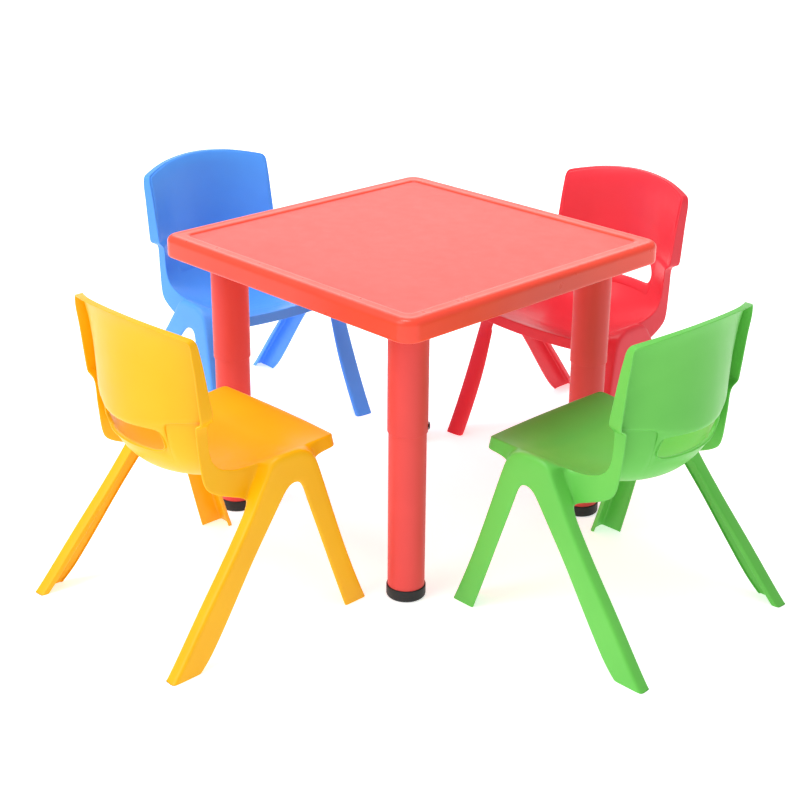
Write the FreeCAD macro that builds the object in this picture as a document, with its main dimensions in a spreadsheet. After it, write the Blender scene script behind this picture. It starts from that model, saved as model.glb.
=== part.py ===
"""Children's table with four stacking chairs, as a parametric FreeCAD document.

The square moulded top stands on four telescoping legs. In each leg a lower tube slides in an
upper tube, and a clamp screw locks it. The chairs are single plastic mouldings: a curved back
tray, a bucket seat and two side frames. Millimetres, +Z up, origin on the floor in the middle
of the set's footprint.
"""
import FreeCAD, Part
import Sketcher
import math
import os

from FreeCAD import Placement, Rotation, Vector

DOC = FreeCAD.newDocument("kids_table_and_chairs")
SHEET = DOC.addObject("Spreadsheet::Sheet", "dims")

DIMENSIONS = {
    # table top
    "table_height": 507,
    "top_side": 600,
    "top_corner": 38,
    "band_tall": 38,
    "rim_wide": 29,
    "rim_deep": 3,
    "recess_corner": 20,
    "edge_round": 12,
    "under_round": 5,
    "wall": 3.5,
    "rib_thick": 2.5,
    "rib_tall": 16,
    # legs
    "leg_spread": 219,
    "upper_radius": 32,
    "upper_wall": 1.6,
    "upper_bottom": 289,
    "lower_radius": 30.1,
    "lower_wall": 1.8,
    "lower_top": 452,
    "slide_travel": 100,
    "collar_wall": 3,
    "collar_tall": 30,
    "collar_gap": 0.1,
    "cap_radius": 32,
    "cap_tall": 20,
    "cap_floor": 4,
    "cap_plug": 3,
    # clamp screw and nut
    "screw_level": 298,
    "shank_radius": 3,
    "shank_fit": 0.05,
    "shank_gap": 0.5,
    "head_radius": 6.5,
    "head_tall": 2.6,
    "nut_side": 14,
    "nut_inner": 21,
    "nut_outer": 27,
    # chairs
    "chair_height": 520,
    "half_width": 190,
    "shell_thick": 3,
    "side_lean": 5.54,
    "frame_deep": 28,
    "inner_flange": 10,
    # how far each chair stands from the table's middle and to its side; blue is a little askew
    "yellow_out": 462,
    "green_out": 470,
    "blue_out": 554,
    "red_out": 480,
    "yellow_aside": -8,
    "green_aside": 16,
    "blue_aside": 61.5,
    "red_aside": 0.5,
    "blue_turn": -1.9,
}
DERIVED = {
    "table_x": "=(blue_out - green_out) / 2",
    "table_y": "=(yellow_out - red_out) / 2",
    "half_top": "=top_side / 2",
    "band_bottom": "=table_height - band_tall",
    "plate_under": "=table_height - rim_deep - wall",
    "collar_radius": "=upper_radius + collar_gap",
}

CORNERS = {
    # name: side along X, side along Y, direction in degrees that the lock screw faces
    "front": (1, -1, 45),
    "right": (1, 1, 135),
    "back": (-1, 1, 225),
    "left": (-1, -1, 135),
}


def fill_sheet():
    """Writes every driving value, then the values worked out from them."""
    for row, (alias, value) in enumerate({**DIMENSIONS, **DERIVED}.items(), start=1):
        SHEET.set(f"A{row}", alias)
        SHEET.set(f"B{row}", str(value))
        SHEET.setAlias(f"B{row}", alias)
    DOC.recompute()


def dim(alias):
    """The present value of a sheet cell."""
    return float(SHEET.get(alias))


def origin_plane(body, role):
    """One of a body's own origin planes, by its role."""
    return next(f for f in body.Origin.OriginFeatures if f.Role == role)


def new_sketch(body, name, role="XY_Plane", lift=None):
    """A sketch on one of the body's planes, lifted off it by an expression."""
    sketch = body.newObject("Sketcher::SketchObject", name)
    sketch.AttachmentSupport = [(origin_plane(body, role), "")]
    sketch.MapMode = "FlatFace"
    if lift:
        sketch.setExpression("AttachmentOffset.Base.z", lift)
    return sketch


def bind(sketch, index, expression):
    """Drives one constraint of a sketch from the sheet."""
    sketch.setExpression(f"Constraints[{index}]", expression)


def add_circle(sketch, x, y, radius):
    """A full circle whose centre and radius are expressions."""
    circle = sketch.addGeometry(Part.Circle(Vector(1, 1, 0), Vector(0, 0, 1), 5))
    bind(sketch, sketch.addConstraint(Sketcher.Constraint("Radius", circle, 5)), radius)
    for axis, place in (("DistanceX", x), ("DistanceY", y)):
        index = sketch.addConstraint(Sketcher.Constraint(axis, -1, 1, circle, 3, 1))
        bind(sketch, index, place)


def add_outline(sketch, points):
    """A closed outline of straight lines through fixed corner points."""
    first = sketch.GeometryCount
    for start, end in zip(points, points[1:] + points[:1]):
        sketch.addGeometry(Part.LineSegment(Vector(*start, 0), Vector(*end, 0)))
    count = len(points)
    for i in range(count):
        following = first + (i + 1) % count
        sketch.addConstraint(Sketcher.Constraint("Coincident", first + i, 2, following, 1))
    sketch.addConstraint([Sketcher.Constraint("Block", first + i) for i in range(count)])


def add_rounded_square(sketch, inset=0.0, corner=None):
    """The table's plan outline, drawn inset from the edge, with rounded corners."""
    half = dim("half_top") - inset
    radius = corner or dim("top_corner") - inset
    flat = half - radius
    for quarter in range(4):
        turn = Rotation(Vector(0, 0, 1), 90 * quarter)
        start = turn.multVec(Vector(half, -flat, 0))
        end = turn.multVec(Vector(half, flat, 0))
        middle = turn.multVec(Vector(flat, flat, 0))
        sketch.addGeometry(Part.LineSegment(start, end))
        circle = Part.Circle(middle, Vector(0, 0, 1), radius)
        first = math.radians(90 * quarter)
        sketch.addGeometry(Part.ArcOfCircle(circle, first, first + math.pi / 2))


def pad(body, sketch, name, length, reverse=False):
    """Raises a sketch by an expression's length."""
    feature = body.newObject("PartDesign::Pad", name)
    feature.Profile = sketch
    feature.Reversed = reverse
    feature.setExpression("Length", length)
    return feature


def pocket(body, sketch, name, length, reverse=False):
    """Cuts a sketch into the body, and checks that it took something away."""
    before = body.Shape.Volume
    feature = body.newObject("PartDesign::Pocket", name)
    feature.Profile = sketch
    feature.Reversed = reverse
    feature.setExpression("Length", length)
    DOC.recompute()
    if body.Shape.Volume > before - 1:
        raise RuntimeError(f"{name} cuts nothing")
    return feature


def edges_at_level(shape, level):
    """Names of a shape's edges that lie flat at one height."""
    names = []
    for i, edge in enumerate(shape.Edges, start=1):
        box = edge.BoundBox
        if abs(box.ZMin - level) < 0.01 and abs(box.ZMax - level) < 0.01:
            names.append(f"Edge{i}")
    return names


def round_edges(body, base, names, radius, name):
    """Rounds named edges of a feature with a radius from the sheet."""
    feature = body.newObject("PartDesign::Fillet", name)
    feature.Base = (base, names)
    feature.setExpression("Radius", radius)
    return feature


def make_table_top():
    """The moulded top: edge band, recessed face, hollow underside, ribs and leg collars."""
    body = DOC.addObject("PartDesign::Body", "table_top")
    outline = new_sketch(body, "top_outline", lift="dims.band_bottom")
    add_rounded_square(outline)
    block = pad(body, outline, "top_block", "dims.band_tall")
    DOC.recompute()
    top_edges = edges_at_level(block.Shape, dim("table_height"))
    upper = round_edges(body, block, top_edges, "dims.edge_round", "top_edge_round")
    DOC.recompute()
    low_edges = edges_at_level(upper.Shape, dim("band_bottom"))
    round_edges(body, upper, low_edges, "dims.under_round", "low_edge_round")
    DOC.recompute()

    recess = new_sketch(body, "recess_outline", lift="dims.table_height")
    add_rounded_square(recess, dim("rim_wide"), dim("recess_corner"))
    pocket(body, recess, "recess", "dims.rim_deep")
    hollow = new_sketch(body, "hollow_outline", lift="dims.band_bottom")
    add_rounded_square(hollow, dim("wall") + dim("under_round"))
    pocket(body, hollow, "hollow", "dims.plate_under - dims.band_bottom", reverse=True)

    reach = dim("half_top") - dim("wall") - dim("under_round") - 0.5
    half_rib = dim("rib_thick") / 2
    spacing = 2 * reach / 7
    for name, across in (("ribs_along_x", False), ("ribs_along_y", True)):
        ribs = new_sketch(body, name, lift="dims.plate_under + 0.5")
        for step in range(-2, 4):
            middle = (step - 0.5) * spacing
            low, high = middle - half_rib, middle + half_rib
            corners = [(-reach, low), (reach, low), (reach, high), (-reach, high)]
            if across:
                corners = [(y, x) for x, y in reversed(corners)]
            add_outline(ribs, corners)
        pad(body, ribs, name + "_pad", "dims.rib_tall", reverse=True)
        DOC.recompute()

    collars = new_sketch(body, "collar_outline", lift="dims.plate_under + 0.5")
    bores = new_sketch(body, "collar_bores", lift="dims.plate_under")
    for side_x, side_y, _ in CORNERS.values():
        place = (f"{side_x} * dims.leg_spread", f"{side_y} * dims.leg_spread")
        add_circle(collars, *place, "dims.collar_radius + dims.collar_wall")
        add_circle(bores, *place, "dims.collar_radius")
    pad(body, collars, "collars", "dims.collar_tall", reverse=True)
    DOC.recompute()
    pocket(body, bores, "bores", "dims.collar_tall")
    body.setExpression("Placement.Base.x", "dims.table_x")
    body.setExpression("Placement.Base.y", "dims.table_y")
    return body


def cylinder(name, radius, height, base=None, level="0"):
    """A cylinder along Z, or along X from a given distance, sized by expressions."""
    tool = DOC.addObject("Part::Cylinder", name)
    tool.setExpression("Radius", radius)
    tool.setExpression("Height", height)
    tool.setExpression("Placement.Base.z", level)
    if base is not None:
        tool.Placement.Rotation = Rotation(Vector(0, 1, 0), 90)
        tool.setExpression("Placement.Base.x", base)
    return tool


def cut(name, base, *tools):
    """Takes the tools away from the base, one after the other."""
    for i, tool in enumerate(tools, start=1):
        result = DOC.addObject("Part::Cut", name if i == len(tools) else f"{name}_cut_{i}")
        result.Base = base
        result.Tool = tool
        base = result
    return base


def fuse(name, *shapes):
    """Joins shapes into one solid."""
    result = DOC.addObject("Part::MultiFuse", name)
    result.Shapes = list(shapes)
    result.Refine = True
    return result


def turned(name, points):
    """A solid of revolution about the local Z axis from a half profile (radius, height)."""
    body = DOC.addObject("PartDesign::Body", name)
    sketch = new_sketch(body, name + "_profile", "XZ_Plane")
    add_outline(sketch, points)
    feature = body.newObject("PartDesign::Revolution", name + "_turned")
    feature.Profile = sketch
    feature.ReferenceAxis = (sketch, ["V_Axis"])
    feature.Angle = 360
    return body


def tube(name, radius, wall, bottom, top):
    """A round tube between two heights."""
    outside = cylinder(name + "_outside", radius, f"{top} - {bottom}", level=bottom)
    inside = cylinder(name + "_inside", f"{radius} - {wall}", f"{top} - {bottom} + 2", level=f"{bottom} - 1")
    return outside, inside


def make_upper_tube():
    """The fixed tube, with a hole for the lock screw and one for the fixing screw."""
    top = "(dims.plate_under - 0.5)"
    outside, inside = tube("upper", "dims.upper_radius", "dims.upper_wall", "dims.upper_bottom", top)
    lock_hole = cylinder(
        "lock_hole", "dims.shank_radius + dims.shank_gap", "40", base="10", level="dims.screw_level"
    )
    fix_hole = cylinder("fix_hole", "2.1", "40", base="10", level="dims.plate_under - 16")
    return cut("upper_tube", outside, inside, lock_hole, fix_hole)


def make_lower_tube():
    """The sliding tube, with the slot that the lock screw runs in."""
    outside, inside = tube("lower", "dims.lower_radius", "dims.lower_wall", "dims.cap_floor", "dims.lower_top")
    half_slot = "(dims.shank_radius + dims.shank_gap)"
    low_end = cylinder("slot_low_end", half_slot, "40", base="10", level="dims.screw_level")
    high_end = cylinder(
        "slot_high_end", half_slot, "40", base="10", level="dims.screw_level + dims.slide_travel"
    )
    middle = DOC.addObject("Part::Box", "slot_middle")
    middle.setExpression("Length", "40")
    middle.setExpression("Width", f"2 * {half_slot}")
    middle.setExpression("Height", "dims.slide_travel")
    middle.setExpression("Placement.Base.x", "10")
    middle.setExpression("Placement.Base.y", f"-{half_slot}")
    middle.setExpression("Placement.Base.z", "dims.screw_level")
    return cut("lower_tube", outside, inside, low_end, high_end, middle)


def make_foot_cap():
    """The cup under the lower tube, with a plug that goes up inside the tube."""
    rim, floor = dim("cap_radius"), dim("cap_floor")
    seat = dim("lower_radius") + 0.02
    plug = dim("lower_radius") - dim("lower_wall") - 0.02
    hollow = plug - dim("cap_plug")
    tall, soften = dim("cap_tall"), 3.0
    profile = [
        (0, 0),
        (rim - soften, 0),
        (rim - soften * 0.3, soften * 0.3),
        (rim, soften),
        (rim, tall),
        (seat, tall),
        (seat, floor),
        (plug, floor),
        (plug, tall + 8),
        (hollow, tall + 8),
        (hollow, floor),
        (0, floor),
    ]
    return turned("foot_cap", profile)


def make_lock_screw():
    """A domed screw head outside the upper tube, with a shank that reaches into the nut."""
    length = dim("upper_radius") - dim("nut_inner")
    shank, head, tall = dim("shank_radius"), dim("head_radius"), dim("head_tall")
    under = 0.3
    profile = [
        (0, -length),
        (shank - 0.6, -length),
        (shank, -length + 0.6),
        (shank, under),
        (head, under),
        (head, under + tall * 0.35),
        (head * 0.82, under + tall * 0.8),
        (head * 0.5, under + tall),
        (0, under + tall),
    ]
    screw = turned("lock_screw", profile)
    recess = new_sketch(screw, "driver_slot", lift=f"{under + tall}")
    reach, half = head * 0.7, 0.6
    add_outline(recess, [(-reach, -half), (reach, -half), (reach, half), (-reach, half)])
    DOC.recompute()
    pocket(screw, recess, "driver_slot_cut", "1.1")
    screw.Placement = Placement(
        Vector(dim("upper_radius"), 0, dim("screw_level")), Rotation(Vector(0, 1, 0), 90)
    )
    return screw


def make_lock_nut():
    """The clamp nut inside the lower tube."""
    block = DOC.addObject("Part::Box", "nut_block")
    block.setExpression("Length", "dims.nut_outer - dims.nut_inner")
    block.setExpression("Width", "dims.nut_side")
    block.setExpression("Height", "dims.nut_side")
    block.setExpression("Placement.Base.x", "dims.nut_inner")
    block.setExpression("Placement.Base.y", "-dims.nut_side / 2")
    block.setExpression("Placement.Base.z", "dims.screw_level - dims.nut_side / 2")
    bore = cylinder(
        "nut_bore", "dims.shank_radius + dims.shank_fit", "40", base="10", level="dims.screw_level"
    )
    return cut("lock_nut", block, bore)


def make_fixing_screw():
    """A small screw from outside the collar into the upper tube."""
    level = "dims.plate_under - 16"
    shank = cylinder("fix_shank", "2", "dims.collar_wall + 4", base="dims.upper_radius - 3", level=level)
    head = cylinder("fix_head", "4", "2", base="dims.collar_radius + dims.collar_wall + 0.1", level=level)
    return fuse("fixing_screw", shank, head)


def back_point(level, across):
    """Depth (x) of the back panel's front face at a height and a distance from the middle."""
    rise = (level - 345) / (525 - 345)
    edge = -61 + rise * (-86 + 61)
    middle = -127 + rise
    sweep = (edge - middle) * (across / 142) ** 2
    return middle + sweep


def back_block(front_set, depth, low, high):
    """A curved slab behind the back panel's front face, set back and as deep as given."""
    rings = []
    for level in (low, high):
        points = [Vector(back_point(level, y) - front_set, y, level) for y in (-160, 0, 160)]
        rear = [p - Vector(depth, 0, 0) for p in points]
        front_arc = Part.Arc(*points).toShape()
        rear_arc = Part.Arc(*reversed(rear)).toShape()
        ends = [Part.makeLine(points[2], rear[2]), Part.makeLine(rear[0], points[0])]
        rings.append(Part.Wire([front_arc, ends[0], rear_arc, ends[1]]))
    return Part.makeLoft(rings, True, True)


def back_outline(inset, foot):
    """The back panel's front outline as a prism along X, inset all round."""
    half, shoulder, crown = 145 - inset, 497 - inset, dim("chair_height") - inset
    radius, taper = 24 - inset, 2.8
    flat, bend = half - radius, shoulder - radius
    arc_end = shoulder + radius * 0.12
    top = Part.Arc(Vector(0, flat, arc_end), Vector(0, 0, crown), Vector(0, -flat, arc_end)).toShape()
    corners = []
    for side in (1, -1):
        start = Vector(0, side * half, bend)
        tip = Vector(0, side * (flat + radius * 0.71), bend + radius * 0.74)
        corners.append(Part.Arc(start, tip, Vector(0, side * flat, arc_end)).toShape())
    narrow = half - taper
    right = Part.makeLine(Vector(0, half, bend), Vector(0, narrow, foot))
    bottom = Part.makeLine(Vector(0, narrow, foot), Vector(0, -narrow, foot))
    left = Part.makeLine(Vector(0, -narrow, foot), Vector(0, -half, bend))
    wire = Part.Wire(Part.__sortEdges__([top, corners[0], right, bottom, left, corners[1]]))
    prism = Part.Face(wire).extrude(Vector(400, 0, 0))
    prism.translate(Vector(-300, 0, 0))
    return prism


PANEL_FOOT = 352


def make_back_panel():
    """The upper back: a curved tray, open to the rear, with a folded flange all round."""
    thick = dim("shell_thick")
    tray = back_block(0, 22, 320, 540).common(back_outline(0, PANEL_FOOT))
    hollow = back_block(thick, 60, 320, 540).common(back_outline(thick, PANEL_FOOT - 10))
    panel = DOC.addObject("Part::Feature", "back_panel")
    panel.Shape = tray.cut(hollow)
    return panel


# Bucket seat sections, from the foot of the back panel to the front edge. Each row holds the
# middle of the upper face (x, z), its side edge (x, z), the edge's distance from the middle
# plane, and how deep the side skirt is.
SEAT_SECTIONS = [
    ((-127, 352), (-72, 352), 129, 18),
    ((-121, 325), (-64, 325), 129, 24),
    ((-110, 295), (-56, 303), 129, 27),
    ((-90, 266), (-46, 286), 130, 32),
    ((-66, 249), (-34, 278), 130, 38),
    ((-38, 241), (-18, 273), 130, 44),
    ((0, 240), (4, 272), 130, 46),
    ((45, 243), (46, 273), 131, 40),
    ((90, 252), (92, 274), 133, 34),
    ((135, 264), (135, 275.5), 135, 28),
    ((166, 271), (166, 277), 137, 22),
]


def seat_section(middle, edge, half, skirt):
    """One closed section of the bucket seat: dished face, folded skirts, even thickness."""
    thick = dim("shell_thick")
    origin = Vector(middle[0], 0, middle[1])
    rise = Vector(edge[0], 0, edge[1]) - origin
    height = rise.Length
    up = rise.normalize()
    splay = 5.0

    def at(across, along):
        return origin + Vector(0, across, 0) + up * along

    face = Part.Arc(at(half, height), at(0, 0), at(-half, height)).toShape()
    inner = half - thick
    radius = (half**2 + height**2) / (2 * height)
    inner_rise = radius - math.sqrt((radius + thick) ** 2 - inner**2)
    under = Part.Arc(at(-inner, inner_rise), at(0, -thick), at(inner, inner_rise)).toShape()
    tip = height - skirt
    corners = [at(-half, height), at(-half - splay, tip), at(-inner - splay, tip), at(-inner, inner_rise)]
    left = [Part.makeLine(a, b) for a, b in zip(corners, corners[1:])]
    mirrored = [Vector(p.x, -p.y, p.z) for p in reversed(corners)]
    right = [Part.makeLine(a, b) for a, b in zip(mirrored, mirrored[1:])]
    return Part.Wire([face, *left, under, *right])


def make_seat():
    """The bucket seat with its lower back, from ruled sections."""
    seat = DOC.addObject("Part::Feature", "seat_bucket")
    seat.Shape = Part.makeLoft([seat_section(*row) for row in SEAT_SECTIONS], True, True)
    return seat


def make_front_lip():
    """The turned-down front edge, bulging forward in the middle."""
    thick = dim("shell_thick")
    half, corner_front, middle_front, depth = 137, 168, 179, 14
    corner_top, middle_top = 277, 271
    corner_foot, middle_foot = 254, 251
    arcs = []
    for back in (0, depth):
        corner, middle = corner_front - back, middle_front - back
        arcs.append([Vector(corner, half, 0), Vector(middle, 0, 0), Vector(corner, -half, 0)])
    front = Part.Arc(*arcs[0]).toShape()
    rear = Part.Arc(*reversed(arcs[1])).toShape()
    ends = [Part.makeLine(arcs[0][2], arcs[1][2]), Part.makeLine(arcs[1][0], arcs[0][0])]
    plan = Part.Face(Part.Wire([front, ends[0], rear, ends[1]]))
    plan.translate(Vector(0, 0, 230))
    column = plan.extrude(Vector(0, 0, 60))
    # the lip's upper face follows the seat's dish at its front section
    left_top, right_top = Vector(0, half, corner_top), Vector(0, -half, corner_top)
    left_foot, right_foot = Vector(0, half, corner_foot), Vector(0, -half, corner_foot)
    sag = Part.Arc(left_top, Vector(0, 0, middle_top), right_top)
    low_sag = Part.Arc(right_foot, Vector(0, 0, middle_foot), left_foot)
    sides = [Part.makeLine(right_top, right_foot), Part.makeLine(left_foot, left_top)]
    front_view = Part.Face(Part.Wire([sag.toShape(), sides[0], low_sag.toShape(), sides[1]]))
    slab = front_view.extrude(Vector(300, 0, 0))
    hollow = slab.copy()
    hollow.translate(Vector(-thick, 0, -thick))
    inner_column = column.copy()
    inner_column.translate(Vector(-thick, 0, 0))
    lip = DOC.addObject("Part::Feature", "front_lip")
    lip.Shape = column.common(slab).cut(inner_column.common(hollow))
    return lip


def make_slot_tool():
    """The hand slot through the lower back, as a stadium-shaped prism."""
    body = DOC.addObject("PartDesign::Body", "slot_tool")
    sketch = new_sketch(body, "slot_shape", "YZ_Plane")
    radius, reach, level = 17, 76, 325.5
    flat, low, high = reach - radius, level - radius, level + radius
    circle_right = Part.Circle(Vector(flat, level, 0), Vector(0, 0, 1), radius)
    circle_left = Part.Circle(Vector(-flat, level, 0), Vector(0, 0, 1), radius)
    quarter = math.pi / 2
    sketch.addGeometry(Part.ArcOfCircle(circle_right, -quarter, quarter))
    sketch.addGeometry(Part.LineSegment(Vector(flat, high, 0), Vector(-flat, high, 0)))
    sketch.addGeometry(Part.ArcOfCircle(circle_left, quarter, 3 * quarter))
    sketch.addGeometry(Part.LineSegment(Vector(-flat, low, 0), Vector(flat, low, 0)))
    pad(body, sketch, "slot_prism", "180", reverse=True)
    return body


FRAME_OUTLINE = [
    (-194, -4),
    (-112, 97),
    (-50, 172),
    (8, 252),
    (28, 280),
    (42, 287),
    (80, 286),
    (110, 268),
    (128, 205),
    (149, 120),
    (196, -4),
    (147, -4),
    (126, 69),
    (92, 183),
    (78, 232),
    (53, 236),
    (10, 184),
    (-75, 75),
    (-144, -4),
]
# What is taken off the flange round the inside of the V, which is shallower than the outer one.
INNER_TRIM = [
    (151.5, -4),
    (130.5, 69),
    (96.5, 183),
    (81.5, 237),
    (51, 241),
    (4.5, 184),
    (-80.5, 75),
    (-149.5, -4),
    (-149.5, -12),
    (151.5, -12),
]
SADDLE_OUTLINE = [(4, 246), (28, 280), (42, 287), (80, 286), (110, 268), (118, 240)]


def make_side_frame(name, side):
    """One side's pair of legs: an upturned V channel, open inwards, leaning in at the top."""
    body = DOC.addObject("PartDesign::Body", name)
    outline = new_sketch(body, name + "_outline", "XZ_Plane")
    add_outline(outline, FRAME_OUTLINE)
    block = pad(body, outline, name + "_block", "dims.frame_deep", reverse=side < 0)
    DOC.recompute()
    open_face = "Face0"
    for i, face in enumerate(block.Shape.Faces, start=1):
        if abs(abs(face.CenterOfMass.y) - dim("frame_deep")) < 0.01:
            open_face = f"Face{i}"
    shell = body.newObject("PartDesign::Thickness", name + "_shell")
    shell.Base = (block, [open_face])
    shell.setExpression("Value", "dims.shell_thick")
    shell.Mode = 0
    shell.Join = 0
    shell.Reversed = True
    DOC.recompute()
    trim = new_sketch(body, name + "_trim", "XZ_Plane", lift=f"{side} * dims.inner_flange")
    add_outline(trim, INNER_TRIM)
    DOC.recompute()
    pocket(body, trim, name + "_trim_cut", "dims.frame_deep", reverse=side > 0)
    saddle_lift = f"{side} * (dims.frame_deep - dims.shell_thick)"
    saddle = new_sketch(body, name + "_saddle", "XZ_Plane", lift=saddle_lift)
    add_outline(saddle, SADDLE_OUTLINE)
    pad(body, saddle, name + "_saddle_pad", "dims.shell_thick", reverse=side < 0)
    body.Placement = Placement(
        Vector(0, side * dim("half_width"), 0), Rotation(Vector(1, 0, 0), side * dim("side_lean"))
    )
    return body


def make_chair():
    """The whole moulding, standing at the origin and facing +X."""
    parts = [make_back_panel(), make_seat(), make_front_lip()]
    parts += [make_side_frame("left_frame", 1), make_side_frame("right_frame", -1)]
    blank = fuse("chair_blank", *parts)
    below = DOC.addObject("Part::Box", "below_floor")
    below.Length, below.Width, below.Height = 600, 600, 20
    below.Placement.Base = Vector(-300, -300, -20)
    return cut("chair_form", blank, make_slot_tool(), below)


def place_copy(name, source, placement):
    """A finished sub-part: a copy of a source shape at its own place."""
    part = DOC.addObject("Part::Feature", name)
    shape = source.Shape.copy()
    solids = shape.Solids
    part.Shape = solids[0] if len(solids) == 1 else shape
    part.Placement = placement.multiply(part.Placement)
    part.Label = name
    return part


def check(parts):
    """Stops on any failed object, and on any sub-part that isn't one valid solid per piece."""
    for item in DOC.Objects:
        if {"Invalid", "Error"} & set(item.State):
            raise RuntimeError(f"{item.Name} failed: {item.State}")
    for part in parts:
        if part.Shape.isNull() or not part.Shape.isValid():
            raise RuntimeError(f"{part.Label} has a bad shape")


def main():
    fill_sheet()
    table_top = make_table_top()
    leg_sources = {
        "upper_tube": make_upper_tube(),
        "lower_tube": make_lower_tube(),
        "foot_cap": make_foot_cap(),
        "lock_screw": make_lock_screw(),
        "lock_nut": make_lock_nut(),
    }
    fixing_screw = make_fixing_screw()
    chair = make_chair()
    DOC.recompute()

    table_x, table_y, spread = dim("table_x"), dim("table_y"), dim("leg_spread")
    parts = []
    fixings = []
    for corner, (side_x, side_y, facing) in CORNERS.items():
        place = Vector(table_x + side_x * spread, table_y + side_y * spread, 0)
        stand = Placement(place, Rotation(Vector(0, 0, 1), facing))
        for piece, source in leg_sources.items():
            parts.append(place_copy(f"{corner}_{piece}", source, stand))
        fixing = fixing_screw.Shape.copy()
        fixing.Placement = stand.multiply(fixing.Placement)
        fixings.append(fixing)
    screws = DOC.addObject("Part::Feature", "fixing_screws")
    screws.Shape = Part.makeCompound(fixings)
    parts.append(screws)

    chairs = {
        # colour: place on the floor and the direction that the chair faces
        "yellow": (dim("yellow_aside"), -dim("yellow_out"), 90),
        "green": (dim("green_out"), dim("green_aside"), 180),
        "blue": (-dim("blue_out"), dim("blue_aside"), dim("blue_turn")),
        "red": (dim("red_aside"), dim("red_out"), -90),
    }
    for colour, (x, y, facing) in chairs.items():
        stand = Placement(Vector(table_x + x, table_y + y, 0), Rotation(Vector(0, 0, 1), facing))
        parts.append(place_copy(f"{colour}_chair", chair, stand))
    parts.append(table_top)
    DOC.recompute()
    check(parts)

    os.makedirs("parts", exist_ok=True)
    for part in parts:
        part.Shape.exportStep(f"parts/{part.Label}.step")
        box = part.Shape.optimalBoundingBox()
        size = f"{box.XLength:.1f} x {box.YLength:.1f} x {box.ZLength:.1f} mm"
        place = f"centre ({box.Center.x:.1f}, {box.Center.y:.1f}), low {box.ZMin:.1f}"
        volume = f"{len(part.Shape.Solids)} solid, {part.Shape.Volume / 1000:.1f} cm3"
        print(f"{part.Label}: {volume}, {size}, {place}")


main()
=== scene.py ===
import math

import bmesh
import bpy
from mathutils import Matrix, Vector


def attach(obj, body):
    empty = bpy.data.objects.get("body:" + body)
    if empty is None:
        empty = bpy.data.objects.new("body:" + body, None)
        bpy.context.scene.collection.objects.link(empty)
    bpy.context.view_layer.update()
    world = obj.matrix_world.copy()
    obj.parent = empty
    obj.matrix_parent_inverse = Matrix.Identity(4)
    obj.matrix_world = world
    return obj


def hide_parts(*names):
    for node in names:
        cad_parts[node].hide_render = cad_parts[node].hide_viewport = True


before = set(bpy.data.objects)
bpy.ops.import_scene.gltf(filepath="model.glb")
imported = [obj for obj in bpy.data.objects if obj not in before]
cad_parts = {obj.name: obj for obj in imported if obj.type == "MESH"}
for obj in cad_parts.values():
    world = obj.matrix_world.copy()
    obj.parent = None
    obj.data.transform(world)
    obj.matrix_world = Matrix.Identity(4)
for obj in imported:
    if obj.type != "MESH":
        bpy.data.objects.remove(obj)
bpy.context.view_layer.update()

MM = 0.001


# ---------------------------------------------------------------------------------------------
# The chair: one open sheet of quads (the outer face), given its thickness and rounded after.
# Local millimetres: +X is the way the chair faces, +Y its left, origin on the floor.
# Only the left half is built; the right half is its mirror image.

# Columns across the back and seat, as shares of the distance from the middle to the edge.
COLUMNS = [0, 0.23, 0.465, 0.58, 0.63, 0.665, 0.78, 0.88, 0.93, 0.965, 1]
SLOT_COLUMN = 3  # where the hand slot ends
TAB_COLUMN = 4  # where the thickened surround of the slot ends

# Rows from the top of the back to the front edge of the seat. Each holds the middle of the
# front or upper face (x, z), its side edge (x, y, z), the free or rear edge of the side face
# (x, y, z) and, on the back, the middle of the rear face (x, z).
BACK_ROWS = [
    ((-126, 519.5), (-85, 138.5, 501), (-104, 143.5, 499), (-143, 519.5)),
    ((-126, 513), (-84, 141.5, 493), (-103, 146.5, 491), (-144, 513)),
    ((-126, 500), (-83.5, 142, 478), (-102.5, 147, 476), (-144, 500)),
    ((-126, 470), (-78, 142, 455), (-98.5, 147, 453), (-146, 470)),
    ((-127, 430), (-72, 142, 420), (-95.5, 147, 418), (-148, 429)),
    ((-127, 395), (-66.5, 142, 391), (-92.5, 147, 389), (-149, 390)),
    ((-127, 376), (-64, 142, 376), (-91, 147, 374), (-150, 364)),
    ((-127, 369), (-63.5, 140.5, 369), (-90.5, 145.5, 367), (-150, 355)),
    ((-127, 363), (-64.5, 132, 363), (-90, 133, 363), (-149.5, 350.5)),
    ((-126, 355.5), (-66, 129.5, 357.5), (-89, 130, 357), (-148, 347)),
    ((-124.5, 346.5), (-66, 129, 348), (-87.5, 130, 344), (-146, 343)),
    ((-120, 326), (-65.5, 129, 328), (-87, 130.5, 325), (-142, 326)),
    ((-113.5, 307.5), (-64, 129, 309), (-84.5, 131, 304), (-136, 309)),
    ((-106, 291), (-57.5, 129, 293.5), (-82.5, 132, 282), (-126, 290)),
    ((-93, 272), (-46, 129.5, 282.5), (-79, 133, 265), (-110, 268)),
    ((-78, 257.5), (-32.5, 129.5, 277.2), (-73.5, 134, 253.5), (-92, 251)),
]
PANEL_FOOT_ROW = 7  # the last row of the upper panel
SLOT_ROWS = (10, 12)  # the hand slot's upper and lower edge
SLOT_LIP = 6.5
# How far the slot's corners are drawn in and towards its middle line, at its top and bottom.
SLOT_TOP_CORNER = (7, 2)
SLOT_BOTTOM_CORNER = (4.5, 4.5)
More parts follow.
